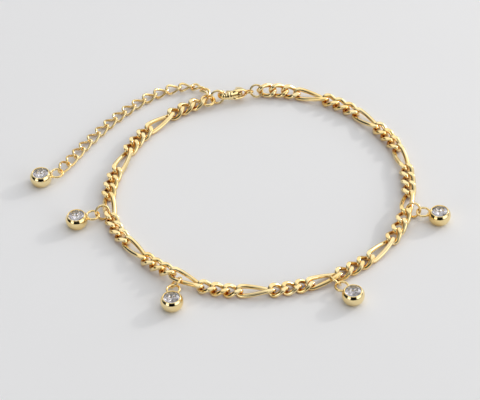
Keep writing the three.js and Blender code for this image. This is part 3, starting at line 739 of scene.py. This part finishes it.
# The long link that each charm hangs on, the end of that link, the angles that the jump ring and
# the charm turn from straight outward, and the ring's lean
CHARMS = [
    {"number": 2, "link": 10, "end": -1, "ring_turn": 10, "charm_turn": 16, "lean": -56},
    {"number": 3, "link": 8, "end": 1, "ring_turn": 4.5, "charm_turn": 26, "lean": 46},
    {"number": 4, "link": 6, "end": -1, "ring_turn": 14, "charm_turn": 16, "lean": -56},
    {"number": 5, "link": 4, "end": 1, "ring_turn": -10, "charm_turn": -14, "lean": 50},
]
CUP_AROUND = 96
SOLDER_AROUND = 64
SOLDER_SIDES = 16
cup_radius = CUP_DIAMETER / 2
cup_widest = math.sqrt(CUP_DIAMETER**2 - CUP_FOOT_DIAMETER**2) / 2
solder_reach = (
    math.sqrt(cup_radius**2 - (SOLDERED_RING_HEIGHT - cup_widest) ** 2)
    + SOLDERED_RING["across"] / 2 - SOLDER_DEPTH
)
CUP_GOLD = gold_material("cup gold", 500.0, 0.03, 0.09, 0.008)


def heading_vector(heading):
    """The unit vector on the table at an angle from X."""
    return np.array([math.cos(heading), math.sin(heading), 0.0])


def lathe_points(profile, around):
    """Points of a profile of (radius, height) turned round the Z axis."""
    angle = 2 * math.pi * np.arange(around) / around
    radius, height = profile[:, 0, None], profile[:, 1, None]
    return np.stack([radius * np.cos(angle), radius * np.sin(angle), height + 0 * angle], axis=-1)


def lathe_faces(rows, around):
    """Quads between the rows of a turned profile, with faces out for a profile that runs from
    the foot up the outside."""
    i = np.arange(rows - 1)[:, None]
    k = np.arange(around)[None, :]
    a = i * around + k
    b = i * around + (k + 1) % around
    return np.stack([a, b, b + around, a + around], axis=-1).reshape(-1, 4)


def shell_faces(grid):
    """The faces of a closed shell of rows x around points: quads between the rows and a flat face
    on the first and last row, all turned so that the volume inside them is positive."""
    rows, around = grid.shape[:2]
    quads = lathe_faces(rows, around)
    centred = grid.reshape(-1, 3) - grid.reshape(-1, 3).mean(axis=0)
    a, b, c, d = (centred[quads[:, k]] for k in range(4))
    volume = (np.cross(a, b) * c).sum() + (np.cross(a, c) * d).sum()
    ends = [tuple(range(around))[::-1], tuple(range((rows - 1) * around, rows * around))]
    faces = [tuple(quad) for quad in quads.tolist()] + ends
    return faces if volume > 0 else [face[::-1] for face in faces]


def cup_profile():
    """The cup's section from its foot, up a ball's wall to the widest place, over a shoulder of a
    smaller radius to the mouth, over a rolled lip, and down a cone under the stone."""
    foot_turn = math.asin(-cup_widest / cup_radius)
    turn = np.linspace(foot_turn, 0, 20)
    wall = np.stack([cup_radius * np.cos(turn), cup_widest + cup_radius * np.sin(turn)], axis=-1)
    mouth_turn = math.asin((CUP_HEIGHT - CUP_LIP - cup_widest) / CUP_SHOULDER)
    turn = np.linspace(0, mouth_turn, 18)[1:]
    centre = cup_radius - CUP_SHOULDER
    height = cup_widest + CUP_SHOULDER * np.sin(turn)
    shoulder = np.stack([centre + CUP_SHOULDER * np.cos(turn), height], axis=-1)
    lip_out, lip_in = shoulder[-1, 0], STONE_DIAMETER / 2 - CUP_LIP
    roll = np.linspace(0, math.pi, 9)[1:]
    middle, half = (lip_out + lip_in) / 2, (lip_out - lip_in) / 2
    lip = np.stack([middle + half * np.cos(roll), shoulder[-1, 1] + CUP_LIP * np.sin(roll)], axis=-1)
    seat = [[lip_in, CUP_HEIGHT - 0.3], [lip_in * 0.98, CUP_HEIGHT - 0.55]]
    inside = np.array(seat + [[0.7, 1.05], [0.1, 1.0]])
    return np.vstack([wall, shoulder, lip, inside])


def solder_ring_points(around, sides):
    """The soldered ring, lying level: wire of radius r bent to a circle, where r swells towards
    the cup by a bell curve of the angle, as solder does."""
    radius = (SOLDERED_RING["across"] - SOLDERED_RING["wire"]) / 2
    angle = 2 * math.pi * np.arange(around) / around
    swell = 1 + 0.55 * np.exp(-((np.minimum(angle, 2 * math.pi - angle) / 0.32) ** 2))
    centre = np.stack([radius * np.cos(angle), radius * np.sin(angle), 0 * angle], axis=-1)
    thickness = RING_FULLNESS * SOLDERED_RING["wire"]
    section = wire_section(thickness, thickness, sides)
    up = np.broadcast_to(UP, centre.shape)
    return swept_loop(centre, up, section[None] * swell[:, None, None])


def place_charm(points, ring_middle, heading):
    """Turns a charm's points, whose cup is on the axis and whose ring is on the side of -X, to
    the heading, and moves them so that the soldered ring's middle is at ring_middle."""
    turn = np.array([
        [math.cos(heading), -math.sin(heading), 0], [math.sin(heading), math.cos(heading), 0], [0, 0, 1],
    ])
    return points @ turn.T + ring_middle * (1, 1, 0) + heading_vector(heading) * solder_reach


def hang_charm(charm):
    """The jump ring's middle and axes, the soldered ring's middle, and the charm's heading."""
    link = next(item for item in LOOP if item.get("number") == charm["link"])
    ring, soldered = ring_shape(CHARM_RING), ring_shape(SOLDERED_RING)
    along = charm["end"] * (LONG_LINK["reach"] - CHAIN_WIRE - 1.5 * CHARM_RING["wire"])
    local, _ = link_point(LONG_LINK, np.array(along), np.array(LONG_LINK["half_width"]))
    wire = link["axes"] @ local + link["middle"]
    outward = link["axes"][:, 1]
    heading = math.atan2(outward[1], outward[0])
    to_ring = heading_vector(heading + math.radians(charm["ring_turn"]))
    inner = ring["reach"] - RING_GAP
    far = wire + to_ring * (2 * inner - CHAIN_WIRE / 2 - SOLDERED_RING["wire"] / 2)
    middle = wire + to_ring * (inner - CHAIN_WIRE / 2)
    middle[2] = ring["half_length"] * math.sin(math.radians(abs(charm["lean"]))) + CHARM_RING["wire"] / 2
    middles, axes = frames_along(middle[None] - to_ring, middle[None] + to_ring, [charm["lean"]])
    charm_heading = heading + math.radians(charm["charm_turn"])
    return middles[0], axes[0], far + heading_vector(charm_heading) * soldered["half_length"], charm_heading


CHARM_PLACES = {1: (FIRST_CHARM_RING, math.radians(FIRST_CHARM_DIRECTION))}
for charm in CHARMS:
    middle, axes, soldered_middle, heading = hang_charm(charm)
    node = f"charm_ring_{charm['number']}"
    ring_piece(node + "_wire", CHARM_RING, middle, axes, node)
    CHARM_PLACES[charm["number"]] = (soldered_middle, heading)

cup_grid = lathe_points(cup_profile(), CUP_AROUND)
cup_points = cup_grid.reshape(-1, 3)
solder = solder_ring_points(SOLDER_AROUND, SOLDER_SIDES) + (-solder_reach, 0, SOLDERED_RING_HEIGHT)
solder_faces = (tube_faces(SOLDER_AROUND, SOLDER_SIDES, 1) + len(cup_points)).tolist()
setting_points = np.vstack([cup_points, solder.reshape(-1, 3)])
setting_faces = shell_faces(cup_grid) + solder_faces
for number, (ring_middle, heading) in CHARM_PLACES.items():
    placed = place_charm(setting_points, ring_middle, heading)
    cup = surface_piece(f"setting_{number}_cup", placed, setting_faces, CUP_GOLD, crease=40)
    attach(cup, "anklet")
    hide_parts(f"setting_{number}")

# The stones: clear round brilliants with a table, stars, kites and upper girdle facets above,
# and below long mains and lower girdle facets, whose backs are silvered as on paste stones.
STONE = {"table": 0.56, "star": 0.79, "crown": 0.30, "star_rise": 0.62, "girdle": 0.05, "pavilion": 0.84}
GIRDLE_BELOW_MOUTH = 0.16
girdle_radius = STONE_DIAMETER / 2
girdle_height = CUP_HEIGHT - GIRDLE_BELOW_MOUTH * girdle_radius


def brilliant():
    """Points and flat facets of a round brilliant on the Z axis. Rings of corners: table and
    stars of eight, girdle of sixteen above and below, main facets' feet of eight, and the culet."""
    def ring(count, radius, height, turn):
        angle = 2 * math.pi * (np.arange(count) + turn) / count
        return np.stack([
            radius * girdle_radius * np.cos(angle), radius * girdle_radius * np.sin(angle),
            girdle_height + height * girdle_radius + 0 * angle,
        ], axis=-1)

    top = STONE["girdle"]
    points = np.vstack([
        ring(8, STONE["table"], top + STONE["crown"], 0),
        ring(8, STONE["star"], top + STONE["star_rise"] * STONE["crown"], 0.5),
        ring(16, 1.0, top, 0),
        ring(16, 1.0, 0.0, 0),
        ring(8, 0.24, -0.78 * STONE["pavilion"], 0.5),
        [[0, 0, girdle_height - STONE["pavilion"] * girdle_radius]],
    ])
    table, star, upper, lower, foot, culet = 0, 8, 16, 32, 48, 56
    crown_faces = [tuple(range(8))]
    back_faces = []
    for i in range(8):
        after, before = (i + 1) % 8, (i + 7) % 8
        corner, middle, following = 2 * i, 2 * i + 1, (2 * i + 2) % 16
        crown_faces += [
            (table + i, star + i, table + after),
            (table + i, star + before, upper + corner, star + i),
            (star + i, upper + corner, upper + middle),
            (star + i, upper + middle, upper + following),
            (upper + corner, lower + corner, lower + middle, upper + middle),
            (upper + middle, lower + middle, lower + following, upper + following),
        ]
        back_faces += [
            (lower + corner, foot + i, lower + middle),
            (lower + middle, foot + i, lower + following),
            (lower + corner, foot + before, culet, foot + i),
        ]
    return points, crown_faces, back_faces


def stone_glass():
    """Clear cut crystal: hardly rough, high index, with a breath of lilac."""
    material, _, shader, _ = clouded_material(
        "stone crystal", 700.0, (1.0, 1.0, 1.0, 1), (0.97, 0.96, 0.98, 1))
    shader.inputs["Roughness"].default_value = 0.02
    shader.inputs["IOR"].default_value = 1.75
    shader.inputs["Transmission Weight"].default_value = 1.0
    return material


def stone_silvering():
    """The silvered back: a bright mirror, a little grey and lilac in patches."""
    material, _, shader, _ = clouded_material(
        "stone silvering", 900.0, (1.0, 0.99, 1.0, 1), (0.93, 0.90, 0.93, 1))
    shader.inputs["Metallic"].default_value = 1.0
    shader.inputs["Roughness"].default_value = 0.12
    return material


STONE_GLASS = stone_glass()
STONE_SILVERING = stone_silvering()
stone_points, crown_faces, back_faces = brilliant()
for number, (ring_middle, heading) in CHARM_PLACES.items():
    mesh = bpy.data.meshes.new(f"stone_{number}_cut")
    placed = (place_charm(stone_points, ring_middle, heading) + ROUTE_ORIGIN) * MM
    mesh.from_pydata(placed.tolist(), [], crown_faces + back_faces)
    mesh.update()
    stone = add_object(mesh.name, mesh, STONE_GLASS)
    mesh.materials.append(STONE_SILVERING)
    silvered = np.arange(len(mesh.polygons)) >= len(crown_faces)
    mesh.polygons.foreach_set("material_index", silvered.astype(np.int32))
    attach(stone, "anklet")
    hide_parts(f"stone_{number}")

# The clasp: a lobster clasp cast in one piece and polished. Its hook has three grooves across the
# back, two cheeks hold a pin between them, and an eye at the end carries the thin ring.
CLASP_HEAD_RADIUS = 2.1
CLASP_END = (6.3, 1.0)
CLASP_HOLLOW_END = (4.09, 0.75)
CHEEK_RADIUS = 1.76
HOOK_THICKNESS = 1.3
CHEEK_THICKNESS = 2.7
SLOT_START = 3.28
SLOT_SHOULDER = 4.3
SLOT_END = 6.8
SLOT_HALF_WIDTH = 0.55
GROOVES = (1.5, 2.15, 2.8)
GROOVE_WIDTH = 0.16
GROOVE_DEPTH = 0.16
EYE_WALL = 0.4
EYE_THICKNESS = 0.55
CLASP_LEAN = 156.0
PIVOT = (5.3, -0.252)
PIN_DIAMETER = 0.7
EYE_AROUND = 48
EYE_SIDES = 20
CLASP_GOLD = gold_material("clasp gold", 600.0, 0.04, 0.11, 0.008, hollow=0.8)
clasp_item = LOOP[0]
lean = math.radians(CLASP_LEAN)
CLASP_AXES = clasp_item["axes"] @ np.array([
    [1, 0, 0], [0, math.cos(lean), -math.sin(lean)], [0, math.sin(lean), math.cos(lean)],
])
CLASP_ORIGIN = clasp_item["middle"] - CLASP_AXES[:, 0] * (CLASP_WALL + CLASP_SPAN / 2)


def smooth_step(value, start, end):
    """0 up to start, 1 from end on, and 3t^2 - 2t^3 between."""
    t = np.clip((value - start) / (end - start), 0, 1)
    return t * t * (3 - 2 * t)


def taper_height(x, first, radius, last, last_radius):
    """Half the width, at x, of the outline round two circles on the X axis."""
    sine = (radius - last_radius) / (last - first)
    cosine = math.sqrt(1 - sine**2)
    line = (radius - (x - first) * sine) / cosine
    near = np.sqrt(np.clip(radius**2 - (x - first) ** 2, 0, None))
    far = np.sqrt(np.clip(last_radius**2 - (x - last) ** 2, 0, None))
    return np.where(x < first + radius * sine, near, np.where(x > last + last_radius * sine, far, line))


def shells_piece(name, grids):
    """One gold object from closed shells in the clasp's own axes."""
    points, faces, count = [], [], 0
    for grid in grids:
        faces += [tuple(count + i for i in face) for face in shell_faces(grid)]
        points.append(grid.reshape(-1, 3) @ CLASP_AXES.T + CLASP_ORIGIN)
        count += len(points[-1])
    return surface_piece(name, np.vstack(points), faces, CLASP_GOLD, crease=50)


def hook_grid():
    """The hook: a superellipse swept from inside the cheeks along the back and round the head to
    the tip. It is thinner in a bell curve at each groove, wider toward the cheeks in a smooth step,
    and drawn in at the tip."""
    middle_radius = CLASP_HEAD_RADIUS - CLASP_WALL / 2
    sine = (CLASP_HEAD_RADIUS - CLASP_END[1]) / (CLASP_END[0] - CLASP_HEAD_RADIUS)
    turn = math.acos(sine)
    angle = np.linspace(turn, 1.5 * math.pi, 84)
    across = CLASP_HEAD_RADIUS + middle_radius * np.cos(angle)
    arc = np.stack([across, middle_radius * np.sin(angle)], axis=-1)
    back_steps = np.linspace(2.4, 0, 30)[:-1, None]
    back = arc[0] + back_steps * np.array([math.sin(turn), -math.cos(turn)])
    path = np.vstack([back, arc])
    normals = unit(np.gradient(path, axis=0))[:, ::-1] * (1, -1)
    upper = path[:, 1] > 0
    groove = sum(np.exp(-(((path[:, 0] - place) / GROOVE_WIDTH) ** 2)) for place in GROOVES)
    thin = 1 - GROOVE_DEPTH * np.where(upper, groove, 0)
    tip = np.sqrt(1 - np.linspace(0, 1, len(path)) ** 60)
    section = wire_section(CLASP_WALL, HOOK_THICKNESS, 32, power=2.7)
    size = (thin * tip)[:, None]
    flat = path[:, None] + (section[None, :, 0] * size)[..., None] * normals[:, None]
    widened = 1 + 0.75 * np.where(upper, smooth_step(path[:, 0], 0.3, 3.6), 0)
    height = section[None, :, 1] * size * widened[:, None]
    return np.concatenate([flat, height[..., None]], axis=-1)


def cheek_grid(side):
    """One cheek: at each x a superellipse from the slot's wall out to the cheek's face. It starts
    as the wall over the hollow, and behind the hollow it goes down to the front edge."""
    turn = np.linspace(0, math.pi, 60)
    start, end = 2.72, CLASP_END[0] + CLASP_END[1]
    x = (start + end) / 2 - (end - start) / 2 * np.cos(turn)
    outer = taper_height(x, CLASP_HOLLOW_END[0], CHEEK_RADIUS, *CLASP_END)
    hollow = taper_height(x, CLASP_HEAD_RADIUS, CLASP_HEAD_RADIUS - CLASP_WALL, *CLASP_HOLLOW_END)
    inner = np.minimum(hollow * 1.02, outer)
    inner = inner + (-outer - inner) * smooth_step(x, 4.25, 4.95)
    slot = SLOT_HALF_WIDTH * (smooth_step(x, SLOT_START, SLOT_SHOULDER) - smooth_step(x, 6.4, SLOT_END))
    face = CHEEK_THICKNESS / 2 * (0.62 + 0.38 * smooth_step(x, start, 4.3) - 0.4 * smooth_step(x, 5.6, end))
    round_end = np.sqrt(np.sin(turn))
    angle = 2 * math.pi * np.arange(32) / 32
    c, s = np.cos(angle), np.sin(angle)
    radius = (np.abs(c) ** 2.8 + np.abs(s) ** 2.8) ** (-1 / 2.8)
    y = ((outer + inner) / 2)[:, None] + ((outer - inner) / 2)[:, None] * radius * c
    middle = ((slot + face) / 2)[:, None]
    z = middle + ((face - slot) / 2 * round_end)[:, None] * radius * s
    return np.stack([np.broadcast_to(x[:, None], y.shape), y, side * z], axis=-1)


def flat_ring_piece(name, x, y, radius, wall, thickness):
    """A flat ring about the clasp's Z axis at (x, y): a rounded section swept round the circle."""
    angle = 2 * math.pi * np.arange(EYE_AROUND) / EYE_AROUND
    centre = np.stack([x + radius * np.cos(angle), y + radius * np.sin(angle), 0 * angle], axis=-1)
    section = wire_section(wall, thickness, EYE_SIDES, 3.0)
    points = swept_loop(centre, np.broadcast_to(UP, centre.shape), section[None]).reshape(-1, 3)
    placed = points @ CLASP_AXES.T + CLASP_ORIGIN
    return surface_piece(name, placed, tube_faces(EYE_AROUND, EYE_SIDES, 1), CLASP_GOLD)


def pin_grid():
    """The pin: a cylinder along Z between the cheeks."""
    angle = 2 * math.pi * np.arange(24) / 24
    rows = np.array([-0.4, 0.4])[:, None] * CHEEK_THICKNESS
    x = PIVOT[0] + PIN_DIAMETER / 2 * np.cos(angle) + 0 * rows
    y = PIVOT[1] + PIN_DIAMETER / 2 * np.sin(angle) + 0 * rows
    return np.stack([x, y, rows + 0 * angle], axis=-1)


body = shells_piece("clasp_body_cast", [hook_grid(), cheek_grid(1), cheek_grid(-1), pin_grid()])
eye = flat_ring_piece("clasp_eye_ring", CLASP_BODY_LENGTH + CLASP_EYE_HOLE / 2, 0,
                      (CLASP_EYE_HOLE + EYE_WALL) / 2, EYE_WALL, EYE_THICKNESS)
for piece in (body, eye):
    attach(piece, "anklet")
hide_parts("clasp_body")

# The lever: a stamped plate on the pin, between the cheeks. Its arm closes the hook's mouth, and a
# thumb nub stands out of the slot in the back.
LEVER_THICKNESS = 0.9
LEVER_EDGE = 0.14
PIN_GAP = 0.08
HUB_WALL = 0.5
LEVER_ARM = np.array([[2.4, -1.85], [3.03, -1.79], [5.0, -1.0], [4.6, -0.35], [2.4, -1.09]])
LEVER_NUB = np.array([[4.85, 0.32], [5.75, 0.32], [5.6, 1.89], [5.05, 1.89]])
LEVER_HEEL = np.array([[5.78, -0.7], [6.1, -0.5], [6.22, 0.3], [5.95, 1.2], [5.65, 1.2]])


def plate_grid(corners):
    """A plate with round corners and edges: the corners cut off four times over, then rows of
    that outline from face to face, drawn in along its own normals by the edge's quarter rounds."""
    outline = corners
    for share in (0.12, 0.25, 0.25, 0.25):
        after = np.roll(outline, -1, axis=0)
        pair = np.stack([outline + share * (after - outline), after - share * (after - outline)], axis=1)
        outline = pair.reshape(-1, 2)
    along = unit(np.roll(outline, -1, axis=0) - np.roll(outline, 1, axis=0))
    inward = np.stack([-along[:, 1], along[:, 0]], axis=-1)
    turn = np.radians([-90, -60, -30, 0, 0, 30, 60, 90])
    middle = np.array([-1, -1, -1, -1, 1, 1, 1, 1]) * (LEVER_THICKNESS / 2 - LEVER_EDGE)
    height = middle + LEVER_EDGE * np.sin(turn)
    drawn_in = LEVER_EDGE * (1 - np.cos(turn))
    flat = outline[None] + drawn_in[:, None, None] * inward[None]
    tall = np.broadcast_to(height[:, None, None], flat.shape[:2] + (1,))
    return np.concatenate([flat, tall], axis=-1)


plates = [plate_grid(corners) for corners in (LEVER_ARM, LEVER_NUB, LEVER_HEEL)]
lever = shells_piece("clasp_lever_plate", plates)
hub = flat_ring_piece("clasp_lever_hub", *PIVOT, PIN_DIAMETER / 2 + PIN_GAP + HUB_WALL / 2,
                      HUB_WALL, LEVER_THICKNESS)
for piece in (lever, hub):
    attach(piece, "lever")
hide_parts("clasp_lever")
